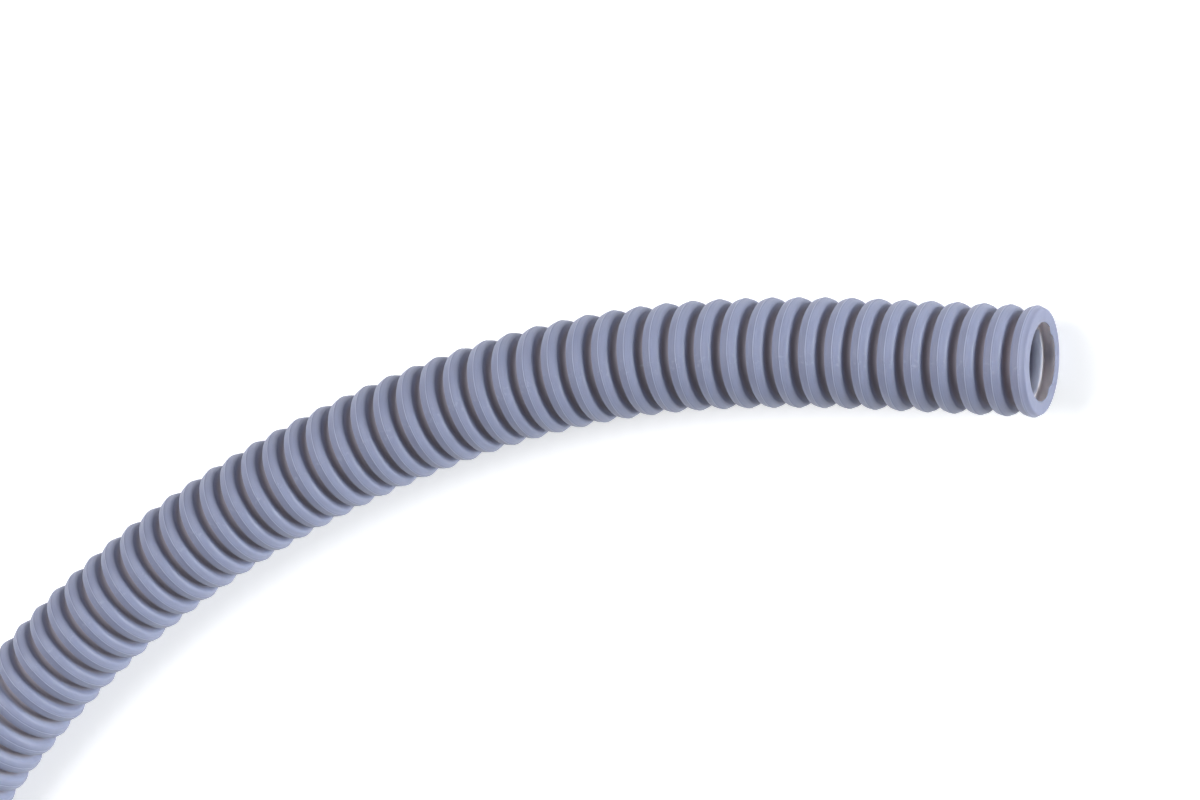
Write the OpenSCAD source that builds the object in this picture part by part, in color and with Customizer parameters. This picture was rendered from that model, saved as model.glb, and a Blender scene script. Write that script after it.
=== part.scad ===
// Corrugated conduit: one thin plastic wall with ribs all along it, cut from a roll.
// Millimetres. Origin: middle of the free end's cut face. +X points out of that end,
// the tube runs away along -X and lies in its own curl in the XY plane, +Z is up.

/* [Size] */
// Outside diameter over the ribs
outer_d = 20; // [16:0.1:50]
// Clear inside diameter under the grooves
bore_d = 14.1; // [10:0.1:40]
// Thickness of the plastic wall
wall = 0.45; // [0.3:0.05:1.5]
// Distance from one rib to the next along the tube
pitch = 5; // [3:0.1:12]

/* [Rib] */
// Half of the width of a rib, middle to flank
rib_half = 1.65; // [1:0.05:4]
// Radius of the crown of a rib
crown_r = 2.7; // [1.5:0.1:6]
// Radius of the shoulders of a rib
shoulder_r = 0.8; // [0.5:0.05:3]
// Distance from the middle of the last rib to the cut face
cut = 1.35; // [1:0.05:6]

/* [Course] */
// Ribs on the straight lead at the free end
lead_ribs = 6; // [2:1:40]
// Ribs on the gentle bend after the lead
easy_ribs = 6; // [0:1:100]
// Radius of the gentle bend
easy_r = 355; // [150:1:2000]
// Ribs on the tight bend after it
tight_ribs = 10; // [0:1:100]
// Radius of the tight bend
tight_r = 190; // [110:1:2000]
// Ribs on the slack bend before the coil bend
slack_ribs = 12; // [0:1:100]
// Radius of the slack bend
slack_r = 268; // [110:1:2000]
// Ribs on the coil bend, most of the length
coil_ribs = 160; // [0:1:300]
// Radius of the coil bend
coil_r = 217; // [110:1:2000]
// Ribs on the straight tail at the far end
tail_ribs = 6; // [1:1:40]

/* [Hidden] */
$fn = 64;
// skins of the tube
outer_r = outer_d / 2;
bore_r = bore_d / 2;
// inside foot of a rib's flanks, a little over the bore
foot_r = bore_r + 0.15 * wall;
// a rib's section is crown and shoulder arcs drawn as short chords: normal of the crown's end in degrees
crown_a = asin((rib_half - shoulder_r) / (crown_r - shoulder_r));
// heights of the arcs' centres over the tube's middle line; the crown's middle chord is a flat land on the outside diameter
crown_h = outer_r - crown_r * cos(crown_a / 3);
shoulder_h = crown_h + (crown_r - shoulder_r) * cos(crown_a);
// stretches of the course from the free end: ribs, and radius of the bend with 0 for straight
course = [[lead_ribs, 0], [easy_ribs, easy_r], [tight_ribs, tight_r], [slack_ribs, slack_r],
    [coil_ribs, coil_r], [tail_ribs, 0]];
// turn of the course from each rib to the next, in degrees
turn = [for (c = course) for (i = [1:1:c[0]]) c[1] == 0 ? 0 : pitch / c[1] * 180 / PI];
ribs = len(turn);
// heading of each rib and the place of its middle, rib 0 at the free end
head = [for (i = 0, h = 0; i < ribs; h = h + turn[i], i = i + 1) h];
spot = [for (i = 0, p = [-cut, 0]; i < ribs;
    p = p - pitch * [cos(head[i] + turn[i] / 2), sin(head[i] + turn[i] / 2)], i = i + 1) p];

// right half of a rib's skin from crown to foot, t inside the outer skin, with n chords to the shoulder.
// x runs along the tube, y away from its middle line.
function half_skin(t, n, foot) = concat(
    [(crown_r - t) * [sin(crown_a / 3), cos(crown_a / 3)] + [0, crown_h]],
    [for (i = [0:n]) let (a = crown_a + (90 - crown_a) * i / n)
        (shoulder_r - t) * [sin(a), cos(a)] + [rib_half - shoulder_r, shoulder_h]],
    [[rib_half - t, foot]]);
function flip(v) = [for (i = [len(v) - 1:-1:0]) [-v[i][0], v[i][1]]];
function back(v) = [for (i = [len(v) - 1:-1:0]) v[i]];
// a rib's wall in section: the outer skin from left foot to right foot, then the inner skin back
module wall_section(left_foot, right_foot)
    let (left_out = half_skin(0, 3, left_foot), left_in = half_skin(wall, 2, left_foot),
        right_out = half_skin(0, 3, right_foot), right_in = half_skin(wall, 2, right_foot))
    polygon(concat(flip(left_out), right_out, back(right_in), back(flip(left_in))));

// a section spun about the X axis
module spun() rotate([0, 90, 0]) rotate_extrude() mirror([1, -1]) children();
module rib() spun() wall_section(foot_r, foot_r);
// the free end's rib, cut off square past its middle, its foot at the cut down on the bore
module free_rib() spun() intersection() {
    wall_section(foot_r, bore_r);
    translate([-2 * rib_half, 0]) square([2 * rib_half + cut, 2 * outer_r]);
}
// the rib at the far end, cut off the same way
module far_rib() spun() intersection() {
    wall_section(bore_r, foot_r);
    translate([-cut, 0]) square([2 * rib_half + cut, 2 * outer_r]);
}
// the wall at the bottom of a groove, its ends inside the flanks of the ribs beside it
module groove() spun() translate([-pitch / 2 + rib_half - wall / 2, bore_r])
    square([pitch - 2 * rib_half + wall, wall]);

// place and heading of a run of ribs a to b: its middle groove's, or the rib's own where it is one rib
function pose(a, b) = a == b ? [spot[a], head[a]]
    : let (j = floor((a + b) / 2)) [(spot[j] + spot[j + 1]) / 2, head[j] + turn[j] / 2];
module at(p, from = [[0, 0], 0]) rotate(-from[1]) translate(p[0] - from[0]) rotate(p[1]) children();
// ribs a to b with the grooves between them, drawn about the middle groove and halved until one rib is left
module run(a, b) {
    j = floor((a + b) / 2);
    if (a == b) {
        if (a == 0) free_rib(); else if (a == ribs - 1) far_rib(); else rib();
    } else {
        at(pose(a, j), pose(a, b)) run(a, j);
        groove();
        at(pose(j + 1, b), pose(a, b)) run(j + 1, b);
    }
}

module conduit() color([0.5, 0.52, 0.6]) at(pose(0, ribs - 1)) run(0, ribs - 1);

conduit();
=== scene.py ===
"""Corrugated conduit: looks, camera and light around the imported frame."""
import math

import bpy
from mathutils import Matrix, Vector


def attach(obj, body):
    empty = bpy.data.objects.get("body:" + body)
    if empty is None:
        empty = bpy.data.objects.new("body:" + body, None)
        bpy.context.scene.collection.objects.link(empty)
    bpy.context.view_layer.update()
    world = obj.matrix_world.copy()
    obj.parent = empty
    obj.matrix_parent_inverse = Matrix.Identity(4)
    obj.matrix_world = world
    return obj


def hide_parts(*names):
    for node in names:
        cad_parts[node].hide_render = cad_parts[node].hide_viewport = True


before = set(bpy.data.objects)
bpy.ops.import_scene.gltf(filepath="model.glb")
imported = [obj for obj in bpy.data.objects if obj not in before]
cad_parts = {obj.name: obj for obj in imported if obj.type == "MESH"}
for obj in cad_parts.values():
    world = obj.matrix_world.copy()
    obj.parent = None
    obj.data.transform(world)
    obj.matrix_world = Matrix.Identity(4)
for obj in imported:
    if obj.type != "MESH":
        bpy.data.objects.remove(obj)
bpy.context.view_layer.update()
MM = 0.001

# ---------------------------------------------------------------- sizes in mm, as in the part's source
PITCH, OUTER_R, BORE_R, WALL = 5.0, 10.0, 7.05, 0.45
RIB_HALF, CROWN_R, SHOULDER_R, CUT = 1.65, 2.7, 0.8, 1.35
GROOVE_R = BORE_R + WALL
# stretches from the free end: ribs, and radius of the bend with 0 for straight
COURSE = [(6, 0), (6, 355), (10, 190), (12, 268), (160, 217), (6, 0)]
RIBS = sum(count for count, _ in COURSE)
LENGTH = 2 * CUT + (RIBS - 1) * PITCH

# ---------------------------------------------------------------- how finely the skin is drawn
FINE_RIBS, FINE_STEPS = 45, 56          # ribs from the free end, and faces round each
COARSE_STEPS, HOLLOW_STEPS = 26, 14
OPEN_RIBS = 3                           # ribs at an end whose hollows are drawn finely
NEAR, RING_SLACK = 0.01, 0.1            # mm allowed when points are picked by place or by radius
SPIN_MERGE, REPEAT_MERGE, JOIN_MERGE = 1e-6, 2e-6, 4e-6         # metres

# ---------------------------------------------------------------- marks of making, in mm
# vent line that the mould leaves round each crown, a little to the free end's side of its middle
VENT_AT, VENT_HALF, VENT_TOP, VENT_H, VENT_JOG = -0.15, 0.2, 0.1, 0.07, 0.09
VENT_EDGE = 0.19                        # where the line's painted shade runs, from its own middle
BESIDE_VENT = -0.7, 0.6                 # where the crown has a point on each side of the vent line
CREST_R = OUTER_R - VENT_H
# cut edge: rounding inside and outside, where the outer one ends, and how deep the cut's own points go
LIP_INNER, LIP_OUTER, LIP_R, LIP_DEPTH = 0.1, 0.42, 9.62, 0.35
NICK_AT = 73.75                         # a scratch across a groove, from the free end
# scraps of the cut edge: degrees round the mouth, which way they are drawn, and how much goes along
BURRS = [(229, (0.05, 0.25, 0.3), 0.9), (326, (0.05, -0.45, 0.35), 1.3)]


def deselect():
    bpy.ops.object.select_all(action="DESELECT")


def active(ob):
    deselect()
    ob.select_set(True)
    bpy.context.view_layer.objects.active = ob
    return ob


def apply_all(ob):
    active(ob)
    for m in list(ob.modifiers):
        bpy.ops.object.modifier_apply(modifier=m.name)
    return ob


def pick(ob, test):
    """Selects, in edit mode, the points whose place in mm passes the test."""
    active(ob)
    for v in ob.data.vertices:
        v.select = test(v.co / MM)
    for e in ob.data.edges:
        e.select = all(ob.data.vertices[i].select for i in e.vertices)
    for f in ob.data.polygons:
        f.select = all(ob.data.vertices[i].select for i in f.vertices)
    bpy.ops.object.mode_set(mode="EDIT")


# ---------------------------------------------------------------- section of the wall, as (x, radius)
CROWN_A = math.degrees(math.asin((RIB_HALF - SHOULDER_R) / (CROWN_R - SHOULDER_R)))
CROWN_H = CREST_R - CROWN_R
SHOULDER_H = CROWN_H + (CROWN_R - SHOULDER_R) * math.cos(math.radians(CROWN_A))


def arc(cx, cy, r, a0, a1, n):
    """Points of an arc from normal a0 to a1, in degrees from straight out."""
    turns = [math.radians(a0 + (a1 - a0) * i / n) for i in range(n + 1)]
    return [(cx + r * math.sin(a), cy + r * math.cos(a)) for a in turns]


def mirrored(points):
    return [(-x, y) for x, y in reversed(points)]


def shifted(points, by):
    return [(x + by, y) for x, y in points]


def on_crown(x):
    return x, CROWN_H + math.sqrt(CROWN_R ** 2 - x ** 2)


def shoulder(steps):
    """Right shoulder and flank of a rib, with a small slope at its foot."""
    foot = 0.3
    return (arc(RIB_HALF - SHOULDER_R, SHOULDER_H, SHOULDER_R, CROWN_A, 90, steps)
            + [(RIB_HALF, GROOVE_R + foot), (RIB_HALF + foot, GROOVE_R)])


def crown():
    """Crown of a rib between its shoulders, with the vent line standing up from it."""
    line = [on_crown(VENT_AT - VENT_HALF), (VENT_AT - VENT_TOP, OUTER_R),
            (VENT_AT + VENT_TOP, OUTER_R), on_crown(VENT_AT + VENT_HALF)]
    return [on_crown(BESIDE_VENT[0])] + line + [on_crown(BESIDE_VENT[1])]


def fine_pitch():
    """One rib and half a groove on each side."""
    side = shoulder(4) + [(PITCH / 2, GROOVE_R)]
    return mirrored(side) + crown() + side


def coarse_pitch():
    """One rib and the groove after it."""
    rounding = [(1.1, 0.24), (1.6, 0.6)]        # from the rib's middle, and below the crest
    side = [(x, OUTER_R - drop) for x, drop in rounding] + [(RIB_HALF, GROOVE_R)]
    return mirrored(side) + [(0, OUTER_R)] + side + [(PITCH - RIB_HALF, GROOVE_R)]


def hollow():
    """Inside of a rib and half of the groove's wall on each side of it."""
    half, top, foot = RIB_HALF - WALL, OUTER_R - WALL, 0.25
    rounding = [(0.7, 0.08), (half - 0.08, 0.45), (half, 0.8)]  # from the rib's middle, and below the top
    side = ([(x, top - drop) for x, drop in rounding]
            + [(half, BORE_R + foot), (half + foot, BORE_R), (PITCH / 2, BORE_R)])
    return mirrored(side) + [(0, top)] + side


def coarse_hollow():
    """Inside of one rib and the groove's wall after it."""
    half, slope, flat = RIB_HALF - WALL, 0.1, 0.15      # the flat top lies below the round one
    top = OUTER_R - WALL - flat
    return [(-half, BORE_R), (slope - half, top), (half - slope, top), (half, BORE_R), (PITCH - half, BORE_R)]


def lip():
    """Cut face at x = 0, from inside the bore to the shoulder of the end rib."""
    face = [(0, BORE_R + 0.4), (0, LIP_R - LIP_OUTER - 0.25)]
    return (arc(LIP_INNER, BORE_R + LIP_INNER, LIP_INNER, 180, 270, 2) + face
            + arc(LIP_OUTER, LIP_R - LIP_OUTER, LIP_OUTER, -90, -38, 3))


def end_profile():
    """From the groove's wall inside, out round the lip and over the end rib to its first groove."""
    inside = []
    for rib in reversed(range(OPEN_RIBS)):
        inside += list(reversed(shifted(hollow(), CUT + rib * PITCH)))
    inside = [p for p in inside if p[0] > LIP_DEPTH]
    return inside + lip() + shifted(crown()[1:] + shoulder(4) + [(PITCH / 2, GROOVE_R)], CUT)


# ---------------------------------------------------------------- runs of skin, drawn straight along +X
def spun_run(name, points, steps, count=1):
    """Spins a chain of (x, radius) points about the X axis and repeats it along X."""
    deselect()
    bpy.ops.mesh.primitive_plane_add(size=1)
    ob = bpy.context.active_object
    ob.name = name
    bpy.ops.object.mode_set(mode="EDIT")
    bpy.ops.mesh.select_all(action="SELECT")
    bpy.ops.mesh.merge(type="CENTER")
    bpy.ops.transform.translate(value=Vector((points[0][0], 0, points[0][1])) * MM)
    for a, b in zip(points, points[1:]):
        bpy.ops.mesh.extrude_region_move(
            TRANSFORM_OT_translate={"value": Vector((b[0] - a[0], 0, b[1] - a[1])) * MM})
    bpy.ops.object.mode_set(mode="OBJECT")
    m = ob.modifiers.new("spin", "SCREW")
    m.axis, m.angle, m.steps, m.render_steps = "X", math.tau, steps, steps
    m.use_merge_vertices, m.merge_threshold = True, SPIN_MERGE
    if count > 1:
        m = ob.modifiers.new("repeat", "ARRAY")
        m.count, m.use_relative_offset, m.use_constant_offset = count, False, True
        m.constant_offset_displace = (PITCH * MM, 0, 0)
        m.use_merge_vertices, m.merge_threshold = True, REPEAT_MERGE
    return apply_all(ob)


def bridge(ob, x_from, x_to, radius):
    """Closes the gap between the two open rings of this radius that lie at x_from and x_to."""
    def on_a_ring(p):
        return x_from - NEAR < p.x < x_to + NEAR and abs(math.hypot(p.y, p.z) - radius) < RING_SLACK
    pick(ob, on_a_ring)
    bpy.ops.mesh.bridge_edge_loops()
    bpy.ops.object.mode_set(mode="OBJECT")


def draw_back_last_ring(ob, by):
    """Moves the last ring of a run, so that it ends where the next run begins."""
    end = max(v.co.x for v in ob.data.vertices) / MM
    pick(ob, lambda p: p.x > end - NEAR)
    bpy.ops.transform.translate(value=(-by * MM, 0, 0))
    bpy.ops.object.mode_set(mode="OBJECT")


def straight_skin():
    """The whole skin as one closed mesh, lying straight along +X from the free end at x = 0."""
    half_groove = PITCH / 2 - RIB_HALF
    open_to = CUT + (OPEN_RIBS - 0.5) * PITCH           # depth to which an end's hollows are fine
    fine_to = CUT + (FINE_RIBS - 0.5) * PITCH
    hollow_half = RIB_HALF - WALL
    last_gap = 0.6                                      # left open before the far end's fine hollows
    free_end = spun_run("free_end", end_profile(), FINE_STEPS)
    fine = spun_run("fine_ribs", shifted(fine_pitch(), CUT + PITCH), FINE_STEPS, FINE_RIBS - 1)
    coarse = spun_run("coarse_ribs", shifted(coarse_pitch(), CUT + FINE_RIBS * PITCH),
                      COARSE_STEPS, RIBS - FINE_RIBS - 1)
    draw_back_last_ring(coarse, half_groove)
    far_end = spun_run("far_end", [(LENGTH - x, r) for x, r in reversed(end_profile())], COARSE_STEPS)
    hollows = spun_run("hollows", list(reversed(shifted(coarse_hollow(), CUT + OPEN_RIBS * PITCH))),
                       HOLLOW_STEPS, RIBS - 2 * OPEN_RIBS)
    draw_back_last_ring(hollows, PITCH / 2 - hollow_half + last_gap)

    active(free_end)
    for ob in (fine, coarse, far_end, hollows):
        ob.select_set(True)
    bpy.ops.object.join()
    skin = bpy.context.active_object
    skin.name = "conduit_wall"
    bpy.ops.object.mode_set(mode="EDIT")
    bpy.ops.mesh.select_all(action="SELECT")
    bpy.ops.mesh.remove_doubles(threshold=JOIN_MERGE)
    bpy.ops.object.mode_set(mode="OBJECT")
    bridge(skin, fine_to, fine_to + half_groove, GROOVE_R)
    bridge(skin, open_to, open_to + PITCH / 2 - hollow_half, BORE_R)
    bridge(skin, LENGTH - open_to - last_gap, LENGTH - open_to, BORE_R)
    bpy.ops.object.mode_set(mode="EDIT")
    bpy.ops.mesh.select_all(action="SELECT")
    bpy.ops.mesh.normals_make_consistent(inside=False)
    bpy.ops.object.mode_set(mode="OBJECT")
    return skin


def jog_vent_line(skin):
    """The mould's two halves meet along the top and the bottom: on one half the vent line lies aside."""
    def on_one_half(p):
        from_crown = (p.x - CUT + PITCH / 2) % PITCH - PITCH / 2
        on_a_crest = math.hypot(p.y, p.z) > CREST_R - RING_SLACK
        in_the_line = abs(from_crown - VENT_AT) < VENT_HALF + 2 * NEAR
        return p.y < 0 and on_a_crest and in_the_line and p.x < CUT + (FINE_RIBS - 0.5) * PITCH
    pick(skin, on_one_half)
    bpy.ops.transform.translate(value=(VENT_JOG * MM, 0, 0))
    bpy.ops.object.mode_set(mode="OBJECT")


# ---------------------------------------------------------------- course of the middle line
def rib_places():
    """Place and heading of each rib's middle in mm; the tube runs to -X from the origin."""
    turns = [0 if radius == 0 else PITCH / radius for count, radius in COURSE for _ in range(count)]
    places, heading, p = [], 0.0, Vector((-CUT, 0))
    for turn in turns:
        places.append((p.copy(), heading))
        p = p - PITCH * Vector((math.cos(heading + turn / 2), math.sin(heading + turn / 2)))
        heading += turn
    return places


def course_curve():
    """A path through the ribs' middles, from cut face to cut face, with handles a third of the way."""
    ribs = rib_places()
    last, heading = ribs[-1]
    far = last - CUT * Vector((math.cos(heading), math.sin(heading)))
    knots = [(Vector((0, 0)), 0.0)] + ribs + [(far, heading)]
    data = bpy.data.curves.new("course", "CURVE")
    data.dimensions, data.twist_mode, data.resolution_u = "3D", "Z_UP", 8
    spline = data.splines.new("BEZIER")
    spline.bezier_points.add(len(knots) - 1)
    gaps = [CUT] + [PITCH] * (len(ribs) - 1) + [CUT]    # from each knot to the next
    for i, (point, (p, heading)) in enumerate(zip(spline.bezier_points, knots)):
        way = Vector((-math.cos(heading), -math.sin(heading), 0))
        point.handle_left_type = point.handle_right_type = "FREE"
        point.co = Vector((p.x, p.y, 0)) * MM
        point.handle_left = point.co - way * (gaps[max(i - 1, 0)] / 3) * MM
        point.handle_right = point.co + way * (gaps[min(i, len(gaps) - 1)] / 3) * MM
    ob = bpy.data.objects.new("course", data)
    bpy.context.collection.objects.link(ob)
    return ob


def keep_straight_place(ob):
    """Each point's place on the straight tube in mm, and whether it is inside, for the material."""
    cut_side = 0.3                      # nearer to a cut than this, nothing counts as inside

    def is_inside(p):
        if not cut_side < p.x < LENGTH - cut_side:
            return False
        radius = math.hypot(p.y, p.z)
        from_crown = abs((p.x - CUT + PITCH / 2) % PITCH - PITCH / 2)
        under_crown = from_crown < RIB_HALF - WALL / 2 and radius < on_crown(from_crown)[1] - WALL / 2
        return under_crown or radius < GROOVE_R - WALL / 2
    places = [v.co / MM for v in ob.data.vertices]
    straight = ob.data.attributes.new("straight", "FLOAT_VECTOR", "POINT")
    straight.data.foreach_set("vector", [c for p in places for c in p])
    inside = ob.data.attributes.new("inside", "FLOAT", "POINT")
    inside.data.foreach_set("value", [float(is_inside(p)) for p in places])


def bend(ob):
    """Bends the straight tube along its course."""
    path = course_curve()
    active(ob)
    m = ob.modifiers.new("course", "CURVE")
    m.object, m.deform_axis = path, "POS_X"
    apply_all(ob)
    bpy.data.objects.remove(path)


def pull_burr(skin, angle, move, reach):
    """Draws a scrap of the cut edge out of the mouth's inner edge; angle in degrees round the mouth."""
    width, depth = 0.6, 0.2             # of the scrap
    at = Vector((0, math.cos(math.radians(angle)), math.sin(math.radians(angle)))) * BORE_R
    pick(skin, lambda p: (p.x < depth and (p - at).length < width
                          and math.hypot(p.y, p.z) < BORE_R + depth))
    bpy.ops.transform.translate(value=Vector(move) * MM, use_proportional_edit=True,
                                proportional_edit_falloff="SHARP", proportional_size=reach * MM)
    bpy.ops.object.mode_set(mode="OBJECT")


conduit = straight_skin()
jog_vent_line(conduit)
for angle, move, reach in BURRS:
    pull_burr(conduit, angle, move, reach)
keep_straight_place(conduit)
bend(conduit)
active(conduit)
bpy.ops.object.shade_smooth()


# ---------------------------------------------------------------- material
class Nodes:
    """Adds nodes to a material and links them; an input may be a number, a vector or a socket."""

    def __init__(self, name):
        self.material = bpy.data.materials.new(name)
        self.material.use_nodes = True
        self.tree = self.material.node_tree
        self.shader = self.tree.nodes["Principled BSDF"]

    def put(self, kind, inputs=(), **settings):
        node = self.tree.nodes.new(kind)
        for key, value in settings.items():
            setattr(node, key, value)
        for key, value in dict(inputs).items():
            self.set(node.inputs[key], value)
        return node

    def set(self, socket, value):
        if isinstance(value, bpy.types.NodeSocket):
            self.tree.links.new(value, socket)
        else:
            socket.default_value = value

    def math(self, operation, a, b=0.0, c=0.0):
        node = self.put("ShaderNodeMath", {0: a, 1: b, 2: c}, operation=operation)
        return node.outputs[0]

    def times(self, *values):
        product = values[0]
        for value in values[1:]:
            product = self.math("MULTIPLY", product, value)
        return product

    def fade(self, value, low, high, a=0.0, b=1.0):
        """From a at low to b at high, smoothly."""
        node = self.put("ShaderNodeMapRange", {"Value": value, "From Min": low, "From Max": high,
                                               "To Min": a, "To Max": b}, interpolation_type="SMOOTHSTEP")
        return node.outputs["Result"]

    def mix(self, factor, a, b):
        """A mix of two colours; each is a colour of three numbers or a socket."""
        a, b = (c if isinstance(c, bpy.types.NodeSocket) else (*c, 1) for c in (a, b))
        node = self.put("ShaderNodeMix", {0: factor, 6: a, 7: b}, data_type="RGBA")
        return node.outputs[2]

    def noise(self, vector, scale, detail=2.0, roughness=0.5):
        node = self.put("ShaderNodeTexNoise", {"Vector": vector, "Scale": scale, "Detail": detail,
                                               "Roughness": roughness})
        return node.outputs[0]


# colours of the plastic, from dark to light or from the main one to the marks on it; the vent line's, the cut
# face's, the grooves' and the hollows' colours are painted light and shade
PLASTIC_DARK, PLASTIC_LIGHT, STREAK = (0.236, 0.258, 0.368), (0.262, 0.286, 0.404), (0.19, 0.19, 0.25)
# the vent line's colours are a painted highlight and painted shade
VENT_PAINTED_HIGHLIGHT, VENT_PAINTED_SHADE = (0.42, 0.46, 0.60), (0.10, 0.10, 0.15)
# the cut face's colour is painted shade, darker than the skin
SCUFF, CUT_FACE_PAINTED_SHADE = (0.44, 0.47, 0.58), (0.15, 0.16, 0.24)
# the grooves' colour is a painted warm tone for light bounced between the ribs
GROOVE_PAINTED_WARMTH, NICK = (0.320, 0.280, 0.295), (0.42, 0.42, 0.48)
# the hollows' colour is a painted glow for light through the thin wall
BORE_TINT, HOLLOW_PAINTED_GLOW = (0.30, 0.32, 0.41), (0.88, 0.81, 0.85)
VENT_PAINT_SHARE = 0.35                       # how much of the vent line's painted highlight and shade shows
CREST_MARKS_R = 9.5                     # vent line and scuffs show from this radius on


def conduit_plastic():
    """Grey plastic. Lengths in it are in mm, on the straight tube."""
    n = Nodes("conduit")
    place = n.put("ShaderNodeAttribute", attribute_name="straight").outputs["Vector"]
    inside = n.put("ShaderNodeAttribute", attribute_name="inside").outputs["Fac"]
    outside = n.math("SUBTRACT", 1.0, inside)
    along, across, up = n.put("ShaderNodeSeparateXYZ", {0: place}).outputs
    radius = n.math("SQRT", n.math("ADD", n.times(across, across), n.times(up, up)))
    from_crown = n.math("WRAP", n.math("SUBTRACT", along, CUT), PITCH / 2, -PITCH / 2)
    round_at = n.math("ARCTAN2", across, up)            # 0 along the top, where the mould's halves meet
    off_top = n.math("ABSOLUTE", round_at)
    # unrolled skin: along the tube and round it
    skin = n.put("ShaderNodeCombineXYZ", {0: along, 1: n.times(round_at, OUTER_R), 2: 0.0}).outputs[0]
    stretched = n.put("ShaderNodeVectorMath", {0: skin, 1: (1.0, 0.06, 1.0)},
                      operation="MULTIPLY").outputs[0]

    # bare plastic with a faint clouding, and fine streaks drawn round the tube
    clouding = n.noise(place, 0.06, 3)
    streaks = n.noise(stretched, 3.2, 3, 0.6)
    plastic = n.mix(clouding, PLASTIC_DARK, PLASTIC_LIGHT)
    plastic = n.mix(n.fade(streaks, 0.35, 0.65, 0.0, 0.16), plastic, STREAK)

    # vent line: a painted highlight along its top and painted shade along the edge on each side, over the
    # real raised line
    jog = n.times(n.math("LESS_THAN", across, 0.0), VENT_JOG)
    off_line = n.math("ABSOLUTE", n.math("SUBTRACT", from_crown, n.math("ADD", jog, VENT_AT)))
    off_edge = n.math("ABSOLUTE", n.math("SUBTRACT", off_line, VENT_EDGE))
    on_crest = n.math("GREATER_THAN", radius, CREST_MARKS_R)
    vent_highlight_paint = n.times(n.fade(off_line, 0.13, 0.07), outside, on_crest, VENT_PAINT_SHARE)
    plastic = n.mix(vent_highlight_paint, plastic, VENT_PAINTED_HIGHLIGHT)
    vent_shade_paint = n.times(n.fade(off_edge, 0.07, 0.02), outside, on_crest, VENT_PAINT_SHARE)
    plastic = n.mix(vent_shade_paint, plastic, VENT_PAINTED_SHADE)

    # scuffs where the mould's halves meet, along the top
    specks = n.fade(n.noise(skin, 0.9, 3, 0.6), 0.50, 0.72)
    scuff = n.times(specks, n.fade(off_top, 0.25, 0.02), on_crest)
    plastic = n.mix(n.times(scuff, 0.3), plastic, SCUFF)

    # painted shade: the cut face of the free end and the rounding beside it are painted darker than the skin,
    # so that they look less bright under the key lamp
    plastic = n.mix(n.times(n.fade(along, 1.0, 0.3), outside, 0.6), plastic, CUT_FACE_PAINTED_SHADE)

    # rougher grooves with a warm tone painted in towards their bottoms, a painted stand-in for warm light
    # bounced between the ribs, and one paler scratch across a groove
    off_cut = n.times(n.math("GREATER_THAN", along, CUT), n.math("LESS_THAN", along, LENGTH - CUT))
    depth = n.times(n.fade(radius, 8.9, 7.4), outside, off_cut)
    colour = n.mix(n.times(depth, 0.8), plastic, GROOVE_PAINTED_WARMTH)
    off_nick = n.math("ABSOLUTE", n.math("SUBTRACT", along, NICK_AT))
    nick = n.times(n.fade(off_nick, 0.8, 0.5), n.fade(off_top, 0.03, 0.012))
    colour = n.mix(n.times(nick, 0.5), colour, NICK)

    # inside, the hollows under the ribs are painted much paler and warmer than the bore's wall: a painted
    # glow for light that comes through the thin wall and bounces round them
    lining_and_glow = n.mix(n.fade(radius, 7.13, 7.5), BORE_TINT, HOLLOW_PAINTED_GLOW)
    n.set(n.shader.inputs["Base Color"], n.mix(inside, colour, lining_and_glow))
    # the thin wall lets some light through, the warm part of it furthest
    n.shader.inputs["Subsurface Weight"].default_value = 0.6
    n.shader.inputs["Subsurface Radius"].default_value = (1.0, 0.85, 0.8)
    n.shader.inputs["Subsurface Scale"].default_value = 2.0 * MM

    rough = n.math("ADD", n.fade(streaks, 0.3, 0.7, 0.46, 0.54), n.times(depth, 0.3))
    n.set(n.shader.inputs["Roughness"], n.math("ADD", rough, n.times(scuff, 0.2)))
    relief = n.math("ADD", n.times(streaks, 0.5), n.times(scuff, 1.2))
    bump = n.put("ShaderNodeBump", {"Strength": 0.5, "Distance": 0.02 * MM, "Height": relief})
    n.set(n.shader.inputs["Normal"], bump.outputs[0])
    return n.material


conduit.data.materials.append(conduit_plastic())
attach(conduit, "root")
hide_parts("conduit")

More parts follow.
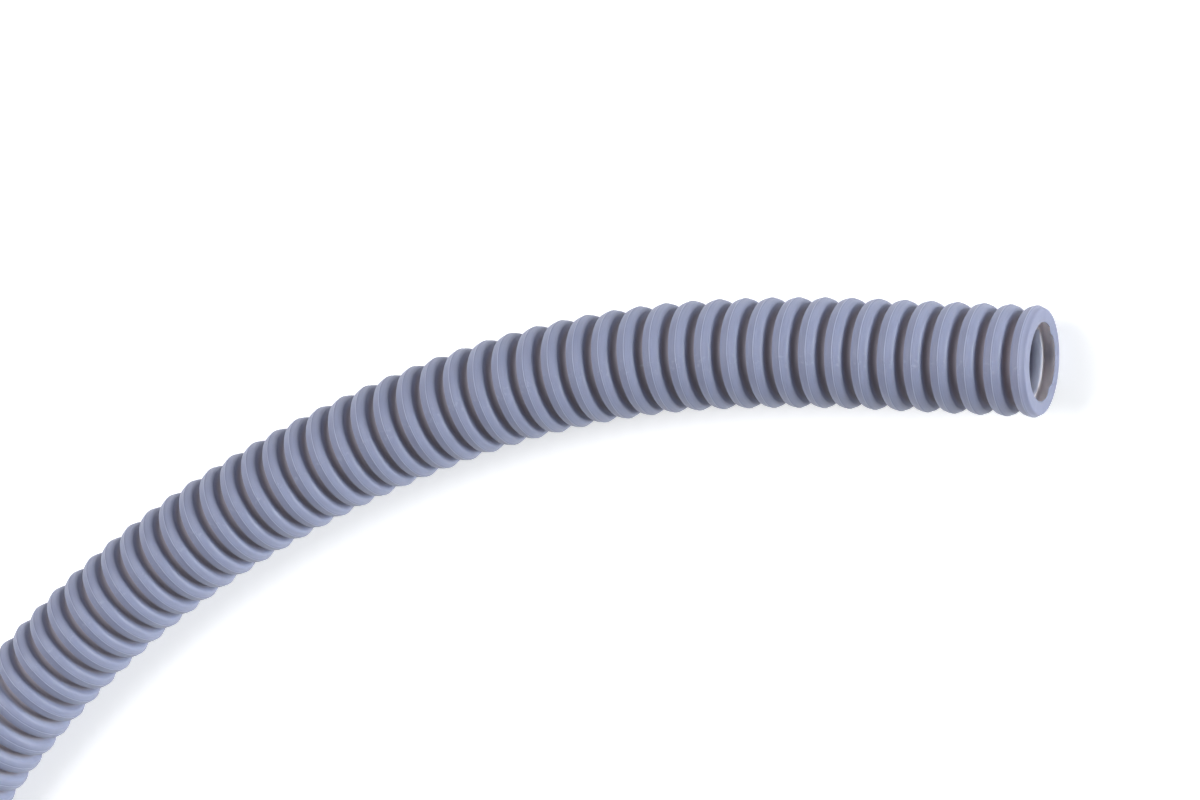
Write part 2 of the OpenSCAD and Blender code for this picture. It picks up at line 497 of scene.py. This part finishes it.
# ---------------------------------------------------------------- camera
CAM_AT = Vector((373.382, 180.104, 1084.604))
ROW_FROM_CAM = Matrix(((0.922007, -0.045065, 0.384542),
                       (-0.018491, 0.986944, 0.159997),
                       (-0.386732, -0.154629, 0.909136)))
cam_data = bpy.data.cameras.new("camera")
cam = bpy.data.objects.new("camera", cam_data)
bpy.context.collection.objects.link(cam)
cam.matrix_world = Matrix.Translation(CAM_AT * MM) @ ROW_FROM_CAM.to_4x4()
cam_data.lens, cam_data.sensor_width = 195.856, 36.0
cam_data.clip_start, cam_data.clip_end = 0.05, 20
bpy.context.scene.camera = cam


# ---------------------------------------------------------------- studio light
def lamp(name, direction, distance, size, power, colour, target=(-0.08, -0.02, 0)):
    """An area lamp standing in a direction given in camera axes (right, up, towards the camera)."""
    d = (ROW_FROM_CAM @ Vector(direction)).normalized()
    data = bpy.data.lights.new(name, "AREA")
    data.shape, data.size, data.energy, data.color = "SQUARE", size, power, colour
    ob = bpy.data.objects.new(name, data)
    bpy.context.collection.objects.link(ob)
    ob.location = Vector(target) + d * distance
    ob.rotation_euler = d.to_track_quat("Z", "Y").to_euler()


lamp("key", (0.86, 0.08, 0.5), distance=1.6, size=0.9, power=47, colour=(0.92, 0.97, 1.0))
lamp("fill", (-0.72, 0.14, 0.6), distance=1.8, size=1.2, power=27.5, colour=(0.95, 0.96, 1.0))


# ---------------------------------------------------------------- floor and world
def floor_paint():
    """White paint; the camera, gloss and glass see it a little brighter, so it is white up to the shadow."""
    n = Nodes("floor")
    n.shader.inputs["Base Color"].default_value = (0.9, 0.9, 0.9, 1)
    n.shader.inputs["Roughness"].default_value = 0.9
    n.shader.inputs["Specular IOR Level"].default_value = 0.1
    ray = n.put("ShaderNodeLightPath").outputs
    seen = n.math("MAXIMUM", ray["Is Camera Ray"],
                  n.math("MAXIMUM", ray["Is Glossy Ray"], ray["Is Transmission Ray"]))
    n.shader.inputs["Emission Color"].default_value = (1, 1, 1, 1)
    n.set(n.shader.inputs["Emission Strength"], n.math("MULTIPLY", seen, 0.45))
    return n.material


deselect()
bpy.ops.mesh.primitive_plane_add(size=8, location=(0, 0, -OUTER_R * MM))
floor = bpy.context.active_object
floor.name = "floor"
floor.data.materials.append(floor_paint())

world = bpy.data.worlds.new("world")
bpy.context.scene.world = world
world.use_nodes = True
world.node_tree.nodes["Background"].inputs["Color"].default_value = (0.96, 0.98, 1, 1)
world.node_tree.nodes["Background"].inputs["Strength"].default_value = 0.24
bpy.context.scene.view_settings.view_transform = "Standard"
